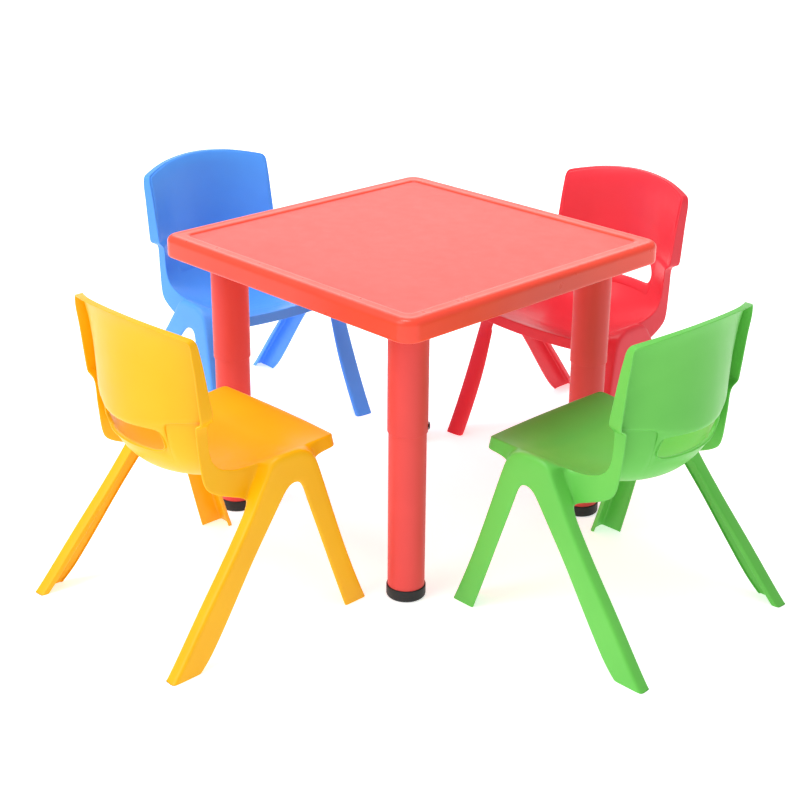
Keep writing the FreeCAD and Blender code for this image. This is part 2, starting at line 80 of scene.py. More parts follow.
# How far behind the front face the thickened part of the back stands, row by row.
PAD_SET = [2.5, 2.5, 2.5, 3, 4.5, 6, 6.5, 6.5, 6.5, 6.5, 6.5, 4.5, 3, 2]
PAD_THICK = 4.5
PAD_INSET = 1.6  # kept clear of the panel's border
PAD_SLOT_GROWTH = 1.5
TOP_FALL = {0: 6.5, 1: 4.5}  # how far the front face rolls back, in the rows next to its top edge

SEAT_ROWS = [
    ((-52, 246), (-18, 130, 273.5), (-52, 135, 241)),
    ((-25, 241), (-7, 130, 272.3), (-26, 136, 231)),
]
FRONT_ROWS = [
    ((138, 264), (138, 135, 275.5), (140, 140, 254)),
    ((158, 270), (156, 136, 276.5), (158, 141, 256)),
    ((170, 273), (164, 136, 276.5), (165, 141, 257)),
    ((177, 273.5), (169.5, 133, 276), (171, 137, 257)),
]
LIP_DROP = 20
LIP_LEAN = 2.5
# Where the lines of the side face lie between its edge and its foot: close together at the ends.
SIDE_SHARES = (0, 0.13, 0.32, 0.5, 0.68, 0.87, 1)

# The saddle: rows where the seat's edge runs on outwards over the legs. Each holds the middle
# of the seat (x, z), the points from the seat's edge out over the crest, and the points down
# the outer skirt to where the legs begin.
SADDLE_ROWS = [
    ((0, 240), [(3, 130, 272), (3, 133, 267), (2, 134, 258), (0, 135, 249)],
     [(-2, 136, 240), (-4, 136.5, 232), (-7, 137, 223)]),
    ((6, 240), [(7, 130, 272), (10.5, 132, 271), (13.5, 134.5, 269), (14, 137, 265)],
     [(8, 138, 253.5), (0.5, 139, 242), (-6.5, 139, 228)]),
    ((9, 240), [(10, 130, 272), (13, 132.5, 271.5), (16, 135.5, 271.5), (16.5, 138, 268)],
     [(10.5, 139, 256.5), (3, 140, 245), (-6, 141, 232)]),
    ((11, 240.1), [(11.5, 130, 272), (15, 133.5, 272.3), (17.5, 138.5, 273), (17.5, 142.5, 269.5)],
     [(11.2, 143.5, 257.5), (3.5, 144.5, 246), (-5.5, 145.5, 233)]),
    ((13.5, 240.2), [(13.5, 130, 272), (17, 136, 274), (19.5, 145, 275.5), (19.2, 155, 273)],
     [(12.5, 156.5, 260.5), (4.5, 157.5, 248.5), (-4.5, 158.5, 235.5)]),
    ((18, 240.5), [(17, 130, 272.2), (19, 140, 276), (21, 153, 278.5), (21, 163, 275)],
     [(14, 165, 262), (6, 166, 250), (-3, 167, 237)]),
    ((29, 241), [(28, 130, 272.4), (30, 140, 279), (31, 153, 284), (31.5, 163.5, 284)],
     [(26, 164.5, 269), (18, 165.7, 253), (8, 167, 238)]),
    ((43, 242.5), [(42, 130.2, 272.6), (43, 140, 280), (44, 153, 286), (44, 163.5, 286.5)],
     [(44, 164.5, 270), (44, 165.5, 254), (43.5, 167, 239)]),
    ((54, 243.5), [(54, 130.5, 272.8), (54, 140, 280), (55, 153, 286.3), (55, 163.5, 287)],
     [(54, 164.5, 270), (53.5, 165.5, 254), (53, 167, 238)]),
    ((74, 247), [(74, 131, 273.2), (73.5, 140, 280), (73, 153, 286), (73, 163.5, 286.5)],
     [(74.5, 164.5, 270), (76, 165.5, 254), (77, 167, 238)]),
    ((86, 249.5), [(86, 131.5, 273.5), (84.5, 141, 280), (83.5, 153, 285), (83.5, 163.5, 285)],
     [(85, 164.5, 270), (86.5, 165.5, 254), (87.5, 167, 239)]),
    ((97, 251.5), [(97, 132, 273.8), (96, 141, 279), (95, 153, 281), (95.5, 163, 279.5)],
     [(101, 164.5, 266), (105.5, 165.7, 252), (109.5, 167, 238)]),
    ((106, 254.5), [(106, 132.5, 274), (106, 141, 276), (106, 153, 274.5), (107.5, 162.5, 270)],
     [(112, 165, 259), (115.5, 166, 248), (119, 167, 237)]),
    ((113, 257), [(113, 133, 274.2), (113.5, 138, 272), (114.5, 145, 267.5), (116, 151, 261)],
     [(118, 153, 252), (120, 153.5, 244), (121.5, 154, 236)]),
    ((121, 259.5), [(120, 134, 274.5), (120.5, 137, 271), (121, 138, 267), (121.5, 138.5, 262.5)],
     [(122, 139, 258), (122.5, 139.5, 253), (123, 140, 248)]),
]
# The last saddle row over the rear leg, and the first over the front leg.
FORK_REAR, FORK_FRONT = 8, 9

# Leg edges: height of a point and its x. The outer faces lean in towards the top.
REAR_LEG_BACK = [(0, -191.5), (20, -174), (95, -114), (157, -61), (214, -18)]
REAR_LEG_FRONT = [(0, -141), (20, -118), (75, -75), (132, -34), (184, 9), (237, 53)]
FRONT_LEG_BACK = [(0, 146), (69, 125), (130, 108), (183, 92), (237, 77)]
FRONT_LEG_FRONT = [(0, 190), (10, 186), (69, 165), (120, 150), (178, 134.5), (230, 121)]
HALF_WIDTH = 190
LEG_LEAN = 0.097
# Heights of the legs' sections. The last is under the floor, where the foot is cut off flat.
LEG_LEVELS = [214, 180, 140, 95, 50, 18, 3, -2.5]
# How deep each leg's flanges are: the outer one, and the one inside the fork.
REAR_FLANGE, FRONT_FLANGE = 23, 36
REAR_FOLD, FRONT_FOLD = 6, 4
# The fold at the free edge of the outer flange, and how far down the leg it grows to full size.
RETURN = 10
RETURN_GROWTH = 90
EDGE_SUPPORT = 9
WALL = 3.2
# The face nearest to this spot tells which way a sheet's faces point.
ON_THE_SEAT = Vector((50, 30, 240)) * MM


def along(table, level):
    """The value of a (height, value) table at a height, by straight lines."""
    for (low, first), (high, last) in zip(table, table[1:]):
        if level <= high:
            return first + (last - first) * (level - low) / (high - low)
    return table[-1][1]


def outer_face(level):
    """How far the legs' outer faces stand from the middle plane at a height."""
    return HALF_WIDTH - LEG_LEAN * level


class Sheet:
    """A mesh of quads whose corners are looked up by key."""

    def __init__(self):
        self.places = {}
        self.quads = []

    def put(self, key, place):
        self.places[key] = Vector(place)

    def quad(self, *keys):
        self.quads.append(keys)

    def strip(self, first, second):
        """Quads between two lists of keys."""
        for a, b, c, d in zip(first, first[1:], second[1:], second):
            self.quad(a, b, c, d)

    def build(self, name):
        """The sheet as a mesh, its faces turned outwards: up on the seat, back on the pad."""
        mesh = bpy.data.meshes.new(name)
        index = {key: i for i, key in enumerate(self.places)}
        points = [p * MM for p in self.places.values()]
        mesh.from_pydata(points, [], [[index[k] for k in quad] for quad in self.quads])
        work = bmesh.new()
        work.from_mesh(mesh)
        bmesh.ops.remove_doubles(work, verts=work.verts, dist=1e-6)
        bmesh.ops.recalc_face_normals(work, faces=work.faces)
        probe = min(work.faces, key=lambda face: (face.calc_center_median() - ON_THE_SEAT).length)
        outwards = probe.normal.z if ("face", 0, 0) in self.places else -probe.normal.x
        if outwards < 0:
            bmesh.ops.reverse_faces(work, faces=work.faces)
        work.to_mesh(mesh)
        work.free()
        return mesh


def section(middle, edge, share):
    """A point of a dished section: parabola from the middle point to the edge point."""
    return (
        middle[0] + (edge[0] - middle[0]) * share**2,
        edge[1] * share,
        middle[1] + (edge[2] - middle[1]) * share**2,
    )


def side_points(edge, foot):
    """Points down the side face from the edge to its foot."""
    start, end = Vector(edge), Vector(foot)
    return [start.lerp(end, share) for share in SIDE_SHARES]


def slot_pinch(row, column, place, grow=0.0):
    """Rounds the ends of the hand slot, and widens it by a little where asked."""
    top, bottom = SLOT_ROWS
    if not (top <= row <= bottom and column <= SLOT_COLUMN):
        return place
    x, y, z = place
    up = {top: 1, bottom: -1}.get(row, 0)
    side = 1 if column == SLOT_COLUMN else 0
    if up and side:
        drawn_in, towards_middle = SLOT_TOP_CORNER if up > 0 else SLOT_BOTTOM_CORNER
        y, z = y - drawn_in, z - up * towards_middle
    return x, y + side * grow, z + up * grow


def add_back_and_seat(sheet):
    """The faces that carry the sitter, and the lip of the hand slot."""
    rows = [(row[0], row[1]) for row in BACK_ROWS + SEAT_ROWS]
    rows += [(middle, crest[0]) for middle, crest, _ in SADDLE_ROWS]
    rows += [(row[0], row[1]) for row in FRONT_ROWS]
    last = len(COLUMNS) - 1
    for r, (middle, edge) in enumerate(rows):
        for c, share in enumerate(COLUMNS):
            x, y, z = slot_pinch(r, c, section(middle, edge, share))
            sheet.put(("face", r, c), (x - TOP_FALL.get(r, 0), y, z))
    top, bottom = SLOT_ROWS
    for r in range(len(rows) - 1):
        for c in range(last):
            if not (top <= r < bottom and c < SLOT_COLUMN):
                corners = ((r, c), (r, c + 1), (r + 1, c + 1), (r + 1, c))
                sheet.quad(*(("face", *corner) for corner in corners))
    ring = [(top, c) for c in range(SLOT_COLUMN + 1)]
    ring += [(r, SLOT_COLUMN) for r in range(top + 1, bottom)]
    ring += [(bottom, c) for c in range(SLOT_COLUMN, -1, -1)]
    lines = [[("face", r, c) for r, c in ring]]
    for step, share in enumerate((0.3, 1), start=1):
        for i, (r, c) in enumerate(ring):
            sheet.put(("lip", i, step), sheet.places["face", r, c] - Vector((SLOT_LIP * share, 0, 0)))
        lines.append([("lip", i, step) for i in range(len(ring))])
    for first, second in zip(lines, lines[1:]):
        sheet.strip(first, second)


def pad_sheet():
    """The rear face of the thicker part of the back: the upper panel and the slot's surround."""
    sheet = Sheet()
    last = len(COLUMNS) - 1
    for r, (set_back, row) in enumerate(zip(PAD_SET, BACK_ROWS)):
        middle, edge, foot, rear = row
        sink = PAD_INSET if r == 0 else 0
        for c, share in enumerate(COLUMNS):
            depth = set_back + TOP_FALL.get(r, 0)
            near = (middle[0] - depth, rear[1] - sink)
            far = (edge[0] - depth, edge[1] - PAD_INSET, foot[2] - sink)
            sheet.put((r, c), slot_pinch(r, c, section(near, far, share), PAD_SLOT_GROWTH))
    top, bottom = SLOT_ROWS
    for r in range(len(PAD_SET) - 1):
        for c in range(last if r < PANEL_FOOT_ROW else TAB_COLUMN):
            if not (top <= r < bottom and c < SLOT_COLUMN):
                sheet.quad((r, c), (r, c + 1), (r + 1, c + 1), (r + 1, c))
    return sheet


def add_side_faces(sheet):
    """The band round the edge: over the top, down the sides and along the front lip.

    Returns the keys of the line that the legs hang from.
    """
    last = len(COLUMNS) - 1
    path = []
    _, _, foot, rear = BACK_ROWS[0]
    for c, share in enumerate(COLUMNS):
        start = sheet.places["face", 0, c]
        path.append((("face", 0, c), side_points(start, section(rear, foot, share))))
    for r in range(1, len(BACK_ROWS)):
        _, edge, foot, _ = BACK_ROWS[r]
        path.append((("face", r, last), side_points(edge, foot)))
    r = len(BACK_ROWS)
    for _, edge, foot in SEAT_ROWS:
        path.append((("face", r, last), side_points(edge, foot)))
        r += 1
    first_saddle = r
    for _, crest, skirt in SADDLE_ROWS:
        path.append((("face", r, last), [Vector(p) for p in crest + skirt]))
        r += 1
    for _, edge, foot in FRONT_ROWS:
        path.append((("face", r, last), side_points(edge, foot)))
        r += 1
    middle = FRONT_ROWS[-1][0]
    _, corner, corner_foot = FRONT_ROWS[-1]
    for c in range(last - 1, -1, -1):
        edge = Vector(section(middle, corner, COLUMNS[c]))
        foot = (middle[0] + LIP_LEAN, middle[1] - LIP_DROP)
        path.append((("face", r - 1, c), side_points(edge, section(foot, corner_foot, COLUMNS[c]))))
    keys = []
    for i, (start, points) in enumerate(path):
        line = [start]
        for k in range(1, len(SIDE_SHARES)):
            sheet.put(("side", i, k), points[k])
            line.append(("side", i, k))
        keys.append(line)
    for first, second in zip(keys, keys[1:]):
        sheet.strip(first, second)
    offset = last + first_saddle
    return [line[-1] for line in keys[offset : offset + len(SADDLE_ROWS)]]


def add_return(sheet, lines, index, reach):
    """Folds the free edge of a leg's outer flange back inwards, so that the leg reads as a bar."""
    edge = [line[index] for line in lines]
    folds = [edge]
    for step, share in enumerate((0.5, 1), start=1):
        folds.append([])
        for key in edge:
            x, y, z = sheet.places[key]
            grown = min(1, 0.05 + (LEG_LEVELS[0] - z) / RETURN_GROWTH) * share
            sheet.put(("return", key, step), (x + reach * grown, y - 1.5 * grown, z))
            folds[-1].append(("return", key, step))
    for first, second in zip(folds, folds[1:]):
        sheet.strip(first, second)


def rear_leg_section(level):
    """The (x, y) points of the rear leg's channel at a height, from its free edge to the fork."""
    out = outer_face(level)
    back, front = along(REAR_LEG_BACK, level), along(REAR_LEG_FRONT, level)
    return [
        (back + 3, out - REAR_FLANGE),
        (back + 2, out - REAR_FLANGE + 1.5),
        (back + 1.5, out - REAR_FLANGE + 3),
        (back + 1, out - REAR_FLANGE + 5),
        (back, out - EDGE_SUPPORT * 1.2),
        (back, out),
        (back + EDGE_SUPPORT + 1, out),
        (front - EDGE_SUPPORT - 1, out),
        (front, out),
    ]


def front_leg_section(level):
    """The (x, y) points of the front leg's channel at a height, from the fork to its free edge."""
    out = outer_face(level)
    back, front = along(FRONT_LEG_BACK, level), along(FRONT_LEG_FRONT, level)
    return [
        (back, out),
        (back + EDGE_SUPPORT, out),
        (front - EDGE_SUPPORT, out),
        (front, out),
        (front, out - EDGE_SUPPORT * 1.2),
        (front - 2, out - FRONT_FLANGE),
    ]


def add_legs(sheet, fork_line):
    """Two channel legs hung from the fork line, joined by the flange inside the fork."""
    rear_tops, front_tops = fork_line[: FORK_REAR + 1], fork_line[FORK_FRONT:]
    columns = {"rear_leg": [rear_tops], "front_leg": [front_tops]}
    for level in LEG_LEVELS:
        sections = {"rear_leg": rear_leg_section(level), "front_leg": front_leg_section(level)}
        for leg, points in sections.items():
            keys = [(leg, level, i) for i in range(len(points))]
            for key, (x, y) in zip(keys, points):
                sheet.put(key, (x, y, level))
            columns[leg].append(keys)
    for lines in columns.values():
        for first, second in zip(lines, lines[1:]):
            sheet.strip(first, second)
    add_return(sheet, columns["rear_leg"][1:], 0, RETURN)
    add_return(sheet, columns["front_leg"][1:], -1, -RETURN)
    inner_edge = [line[-1] for line in reversed(columns["rear_leg"])]
    inner_edge += [line[0] for line in columns["front_leg"]]
    add_fork_flange(sheet, inner_edge)


def add_fork_flange(sheet, inner_edge):
    """The narrow flange round the inside of the fork, from one foot up and over to the other."""
    folds = [inner_edge]
    for step, share in enumerate((0.6, 1), start=1):
        line = []
        for i, key in enumerate(inner_edge):
            x, y, z = sheet.places[key]
            inward = share * (REAR_FOLD if key[0] == "rear_leg" else FRONT_FOLD)
            sheet.put(("fold", i, step), (x, y - inward, z))
            line.append(("fold", i, step))
        folds.append(line)
    for first, second in zip(folds, folds[1:]):
        sheet.strip(first, second)


def thickened(sheet, name, wall):
    """A sheet mirrored to both sides, given its wall thickness and smoothed."""
    cage = bpy.data.objects.new(name, sheet.build(name))
    bpy.context.scene.collection.objects.link(cage)
    mirror = cage.modifiers.new("mirror", "MIRROR")
    mirror.use_axis = (False, True, False)
    mirror.use_clip = True
    mirror.merge_threshold = 1e-5
    thick = cage.modifiers.new("thick", "SOLIDIFY")
    thick.thickness = wall * MM
    thick.offset = -1
    thick.use_even_offset = True
    thick.thickness_clamp = 1.0
    smooth = cage.modifiers.new("smooth", "SUBSURF")
    smooth.levels = smooth.render_levels = 2
    done = bpy.data.meshes.new_from_object(cage.evaluated_get(bpy.context.evaluated_depsgraph_get()))
    bpy.data.objects.remove(cage)
    return done


def chair_mesh():
    """The finished chair, in its own frame."""
    sheet = Sheet()
    add_back_and_seat(sheet)
    add_legs(sheet, add_side_faces(sheet))
    work = bmesh.new()
    work.from_mesh(thickened(sheet, "chair_cage", WALL))
    work.from_mesh(thickened(pad_sheet(), "pad_cage", PAD_THICK))
    done = bpy.data.meshes.new("chair_shape")
    for vert in work.verts:
        vert.co.z = max(vert.co.z, 0)
    work.to_mesh(done)
    work.free()
    done.polygons.foreach_set("use_smooth", [True] * len(done.polygons))
    return done


# ---------------------------------------------------------------------------------------------
# Table, legs and their fittings.

TABLE_HEIGHT = 507
HALF_TOP = 300
BAND_BOTTOM = 470
FACE_LEVEL = 504
FACE_INSET = 33  # from the table's edge to the sunk face
RIM_LEVEL = 506.45
PLATE_UNDER = 500.5
EDGE_RADIUS = 10.5
CORNER_RADIUS = 28
TABLE_CENTRE = (42, -9)
LEG_SPREAD = 219
LOWER_ROUND = 5  # radius of the band's lower edge
INNER_BAND = 9.5  # from the outer face of the band to where the ribs end
RIBS = 6
RIB_HALF = 1.25
RIB_DEPTH = 15.5
COLLAR_RADII = (35.1, 32.15)
COLLAR_DEPTH = 29.5
SCREW_LEVEL = 298
UPPER_RADIUS = 32
UPPER_WALL = 1.6
UPPER_BOTTOM = 289
LOWER_RADIUS = 30.1
CORNERS = {
    # name: side along X, side along Y, direction in degrees that the lock screw faces
    "front": (1, -1, 45),
    "right": (1, 1, 135),
    "back": (-1, 1, 225),
    "left": (-1, -1, 135),
}


def arc_points(centre, radius, first, last, steps):
    """Points on an arc in a profile plane, angles in degrees."""
    angles = [math.radians(first + (last - first) * i / steps) for i in range(steps + 1)]
    return [(centre[0] + radius * math.cos(a), centre[1] + radius * math.sin(a)) for a in angles]


def finish_mesh(name, work):
    """A mesh object from a bmesh, in metres, with outward normals."""
    bmesh.ops.remove_doubles(work, verts=work.verts, dist=0.001)
    bmesh.ops.recalc_face_normals(work, faces=work.faces)
    bmesh.ops.scale(work, vec=(MM, MM, MM), verts=work.verts)
    mesh = bpy.data.meshes.new(name)
    work.to_mesh(mesh)
    work.free()
    mesh.polygons.foreach_set("use_smooth", [True] * len(mesh.polygons))
    piece = bpy.data.objects.new(name, mesh)
    bpy.context.scene.collection.objects.link(piece)
    return piece


def bridge(work, rings, wrap=False):
    """Quads between neighbouring closed rings of vertices."""
    pairs = list(zip(rings, rings[1:]))
    if wrap:
        pairs.append((rings[-1], rings[0]))
    for first, second in pairs:
        for i in range(len(first)):
            j = (i + 1) % len(first)
            corners = []
            for vert in (first[i], first[j], second[j], second[i]):
                if vert not in corners:
                    corners.append(vert)
            if len(corners) > 2:
                work.faces.new(corners)


def add_turned(work, profile, steps=96, wrap=True):
    """A shape turned about Z from (radius, height) points. Radius 0 closes it on the axis."""
    rings = []
    for radius, height in profile:
        if radius == 0:
            rings.append([work.verts.new((0, 0, height))] * steps)
            continue
        angles = [2 * math.pi * i / steps for i in range(steps)]
        places = [(radius * math.cos(a), radius * math.sin(a), height) for a in angles]
        rings.append([work.verts.new(place) for place in places])
    bridge(work, rings, wrap)


def tube_profile(outer, inner, bottom, top, lip):
    """A tube wall with softly rounded ends."""
    return [
        (outer, bottom + 4 * lip),
        (outer, bottom + lip),
        (outer - lip * 0.3, bottom + lip * 0.3),
        (outer - lip, bottom),
        (inner + lip, bottom),
        (inner + lip * 0.3, bottom + lip * 0.3),
        (inner, bottom + lip),
        (inner, top - lip),
        (inner + lip * 0.3, top - lip * 0.3),
        (inner + lip, top),
        (outer - lip, top),
        (outer - lip * 0.3, top - lip * 0.3),
        (outer, top - lip),
        (outer, top - 4 * lip),
    ]


def square_ring(work, inset, corner, level, per_corner=12, per_side=10):
    """A rounded square of vertices, inset from the table's edge."""
    half = HALF_TOP - inset
    flat = half - corner
    verts = []
    for quarter in range(4):
        turn = Matrix.Rotation(math.pi / 2 * quarter, 2)
        for i in range(1, per_side):
            spot = turn @ Vector((half, -flat + 2 * flat * i / per_side))
            verts.append(work.verts.new((*spot, level)))
        for i in range(per_corner + 1):
            a = math.pi / 2 * i / per_corner
            spot = turn @ Vector((flat + corner * math.cos(a), flat + corner * math.sin(a)))
            verts.append(work.verts.new((*spot, level)))
    return verts


def add_bar(work, low, high, round_by=0.6):
    """A straight bar between two corners, its edges rounded."""
    made = bmesh.ops.create_cube(work, size=1)["verts"]
    size = Vector(high) - Vector(low)
    bmesh.ops.scale(work, vec=size, verts=made)
    bmesh.ops.translate(work, vec=(Vector(high) + Vector(low)) / 2, verts=made)
    edges = list({edge for vert in made for edge in vert.link_edges})
    bmesh.ops.bevel(work, geom=edges, offset=round_by, segments=2, profile=0.5, affect="EDGES")


def table_top_sections():
    """Rounded squares as (inset, corner radius, height), from the face out and round to the back."""
    top, under = TABLE_HEIGHT, PLATE_UNDER
    face = [(200, 20, FACE_LEVEL), (100, 20, FACE_LEVEL), (38, 10, FACE_LEVEL), (32.8, 11, FACE_LEVEL)]
    step = [(32.2, 11.2, FACE_LEVEL + 0.15), (31.2, 11.8, top - 1.55), (30.8, 12, top - 1.35)]
    rim = [(27.2, 14, top - 0.62), (26.6, 14.4, RIM_LEVEL), (25, 15, RIM_LEVEL), (17.4, 17, RIM_LEVEL)]
    crest = [(16.8, 17.1, RIM_LEVEL + 0.03), (13.6, 17.3, top - 0.06), (12.8, 17.4, top)]
    outer = arc_points((EDGE_RADIUS, top - EDGE_RADIUS), EDGE_RADIUS, 90, 180, 8)
    outer += [(0, top - EDGE_RADIUS - 2), (0, BAND_BOTTOM + 7)]
    outer += arc_points((LOWER_ROUND, BAND_BOTTOM + LOWER_ROUND), LOWER_ROUND, 180, 270, 5)
    outer += [(7.6, BAND_BOTTOM), (8.3, BAND_BOTTOM + 0.5), (8.6, BAND_BOTTOM + 2)]
    outer += [(8.8, under - 4), (9.6, under - 1), (12, under)]
    band = [(inset, CORNER_RADIUS - inset, level) for inset, level in outer]
    return face + step + rim + crest + band + [(100, 20, under), (200, 20, under)]


def add_collar(work, side_x, side_y):
    """The collar under the top that holds one leg."""
    collar = bmesh.new()
    add_turned(collar, tube_profile(*COLLAR_RADII, PLATE_UNDER - COLLAR_DEPTH, PLATE_UNDER + 1, 0.6))
    bmesh.ops.translate(collar, vec=(side_x * LEG_SPREAD, side_y * LEG_SPREAD, 0), verts=collar.verts)
    spare = bpy.data.meshes.new("collar")
    collar.to_mesh(spare)
    collar.free()
    work.from_mesh(spare)
    bpy.data.meshes.remove(spare)


def table_top_piece():
    """The moulded top: rounded rim, sunk face, edge band, hollow underside with ribs and collars."""
    work = bmesh.new()
    rings = [square_ring(work, *section) for section in table_top_sections()]
    bridge(work, rings)
    work.faces.new(rings[0])
    work.faces.new(rings[-1])
    reach = HALF_TOP - INNER_BAND
    spacing = 2 * reach / (RIBS + 1)
    low, high = PLATE_UNDER - RIB_DEPTH, PLATE_UNDER + 1
    for step in range(RIBS):
        middle = (step - (RIBS - 1) / 2) * spacing
        near, far = middle - RIB_HALF, middle + RIB_HALF
        add_bar(work, (-reach, near, low), (reach, far, high))
        add_bar(work, (near, -reach, low), (far, reach, high))
    for side_x, side_y, _ in CORNERS.values():
        add_collar(work, side_x, side_y)
    piece = finish_mesh("table_top_shell", work)
    piece.location = (TABLE_CENTRE[0] * MM, TABLE_CENTRE[1] * MM, 0)
    return piece


def upper_tube_piece(name):
    """The fixed tube of a leg."""
    work = bmesh.new()
    inner, top = UPPER_RADIUS - UPPER_WALL, PLATE_UNDER - 0.5
    add_turned(work, tube_profile(UPPER_RADIUS, inner, UPPER_BOTTOM, top, 0.5))
    return finish_mesh(name, work)


def foot_cap_piece(name):
    """The cup on the foot: rounded under edge, soft upper lip, plug inside the tube."""
    work = bmesh.new()
    rim, tall, seat, plug = 32, 20, LOWER_RADIUS + 0.02, 28.28
    base, bottom_round, plug_wall, plug_top = 4.2, 3.5, 3, tall + 8
    profile = [(0, 0), (18, 0), (27, 0)]
    profile += arc_points((rim - bottom_round, bottom_round), bottom_round, 270, 360, 6)
    profile += [(rim, 10), (rim, tall - 2.4), (rim, tall - 1.2), (rim - 0.3, tall - 0.4)]
    profile += [(rim - 0.9, tall), (seat, tall), (seat, base), (plug, base), (plug, plug_top)]
    profile += [(plug - plug_wall, plug_top), (plug - plug_wall, base), (0, base)]
    add_turned(work, profile, wrap=False)
    return finish_mesh(name, work)


def lock_screw_piece(name):
    """A domed head with a driver slot, and its shank, pointing along Z from the tube's face."""
    work = bmesh.new()
    head, shank, under, length = 6.5, 3, 0.3, 11
    dome = [(0, 2.6), (1.5, 2.58), (3.2, 2.4), (4.6, 2.0), (5.6, 1.45), (6.2, 0.9), (head, 0.45)]
    dome += [(head, 0.15), (head - 0.2, 0), (shank + 0.4, 0), (shank, -0.2)]
    profile = [(radius, under + height) for radius, height in dome]
    profile += [(shank, -length + 0.6), (shank - 0.6, -length), (0, -length)]
    add_turned(work, profile, steps=64, wrap=False)
    piece = finish_mesh(name, work)
    slot = bmesh.new()
    add_bar(slot, (-4.4, -0.6, under + 1.5), (4.4, 0.6, under + 4), 0.15)
    cutter = finish_mesh("driver_slot", slot)
    take = piece.modifiers.new("slot", "BOOLEAN")
    take.operation = "DIFFERENCE"
    take.object = cutter
    take.solver = "EXACT"
    cut = bpy.data.meshes.new_from_object(piece.evaluated_get(bpy.context.evaluated_depsgraph_get()))
    piece.modifiers.clear()
    piece.data = cut
    bpy.data.objects.remove(cutter)
    return piece


# ---------------------------------------------------------------------------------------------
# Materials.


def moulded(name, colour, deep, roughness, grain=900, grain_depth=0.00012, wave=0.0006, gloss=0.3):
    """Moulded plastic: slight colour drift, uneven sheen, fine grain and faint sink marks."""
    material = bpy.data.materials.new(name)
    material.use_nodes = True
    nodes, links = material.node_tree.nodes, material.node_tree.links
    shader = nodes["Principled BSDF"]
    shader.inputs["IOR"].default_value = 1.49
    shader.inputs["Specular IOR Level"].default_value = gloss
    coordinates = nodes.new("ShaderNodeTexCoord")

    def noise(scale, detail):
        node = nodes.new("ShaderNodeTexNoise")
        node.inputs["Scale"].default_value = scale
        node.inputs["Detail"].default_value = detail
        links.new(coordinates.outputs["Object"], node.inputs["Vector"])
        return node.outputs["Fac"]

    drift = nodes.new("ShaderNodeValToRGB")
    drift.color_ramp.elements[0].position = 0.3
    drift.color_ramp.elements[0].color = (*deep, 1)
    drift.color_ramp.elements[1].position = 0.62
    drift.color_ramp.elements[1].color = (*colour, 1)
    links.new(noise(7, 3), drift.inputs["Fac"])
    links.new(drift.outputs["Color"], shader.inputs["Base Color"])

    sheen = nodes.new("ShaderNodeMapRange")
    sheen.inputs["To Min"].default_value = roughness - 0.07
    sheen.inputs["To Max"].default_value = roughness + 0.07
    links.new(noise(45, 4), sheen.inputs["Value"])
    links.new(sheen.outputs["Result"], shader.inputs["Roughness"])

    fine = nodes.new("ShaderNodeBump")
    fine.inputs["Strength"].default_value = 0.5
    fine.inputs["Distance"].default_value = grain_depth
    links.new(noise(grain, 2), fine.inputs["Height"])
    broad = nodes.new("ShaderNodeBump")
    broad.inputs["Strength"].default_value = 0.5
    broad.inputs["Distance"].default_value = wave
    links.new(noise(14, 1), broad.inputs["Height"])
    links.new(fine.outputs["Normal"], broad.inputs["Normal"])
    links.new(broad.outputs["Normal"], shader.inputs["Normal"])
    return material


def brushed_steel(name):
    """Zinc-plated steel for the hidden fittings."""
    material = moulded(name, (0.62, 0.63, 0.65), (0.5, 0.51, 0.53), 0.34, 2500, 0.00005, 0.0001)
    material.node_tree.nodes["Principled BSDF"].inputs["Metallic"].default_value = 1.0
    return material


def pale_floor_material():
    """A matt near-white studio floor."""
    material = moulded("floor_pale", (0.9, 0.9, 0.9), (0.88, 0.88, 0.88), 0.85, 300, 0.0001, 0.0)
    shader = material.node_tree.nodes["Principled BSDF"]
    shader.inputs["Emission Color"].default_value = (1, 1, 1, 1)
    shader.inputs["Emission Strength"].default_value = 0.6
    return material


MATERIALS = {
    "table_red": moulded(
        "table_red", (0.95, 0.072, 0.036), (0.91, 0.063, 0.031), 0.3, 900, 0.00005, 0.00025, 0.35
    ),
    "table_red_grained": moulded(
        "table_red_grained", (0.92, 0.095, 0.075), (0.9, 0.085, 0.066), 0.47, 1400, 0.0003, gloss=0.5
    ),
    "leg_red": moulded(
        "leg_red", (0.77, 0.08, 0.072), (0.73, 0.072, 0.066), 0.4, 600, 0.00008, gloss=0.15
    ),
    "foot_black": moulded("foot_black", (0.018, 0.019, 0.02), (0.012, 0.013, 0.014), 0.5),
    "screw_black": moulded("screw_black", (0.02, 0.02, 0.022), (0.014, 0.014, 0.016), 0.38),
    "yellow_plastic": moulded("yellow_plastic", (0.93, 0.48, 0.001), (0.9, 0.44, 0.001), 0.38),
    "green_plastic": moulded("green_plastic", (0.135, 0.53, 0.078), (0.115, 0.485, 0.068), 0.38),
    "blue_plastic": moulded("blue_plastic", (0.085, 0.34, 0.96), (0.076, 0.31, 0.91), 0.38),
    "red_plastic": moulded("red_plastic", (0.79, 0.034, 0.054), (0.74, 0.03, 0.048), 0.38),
    "steel": brushed_steel("steel"),
}


def dress(piece, body, slot, nodes):
    """Gives a piece its body and the material that its slot names, and hides the CAD nodes that it
    stands for.
    """
    piece.data.materials.append(MATERIALS[slot])
    bpy.context.view_layer.update()
    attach(piece, body)
    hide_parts(*nodes)


def recolour(node, material):
    """Puts a material on a CAD mesh that stays visible."""
    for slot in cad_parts[node].material_slots:
        slot.material = MATERIALS[material]


# ---------------------------------------------------------------------------------------------
# The set.

CHAIRS = {
    # colour: place on the floor and the direction that the chair faces, in degrees
    "yellow": (34, -471, 90),
    "green": (512, 7, 180),
    "blue": (-512, 52.5, -1.9),
    "red": (42.5, 471, -90),
}


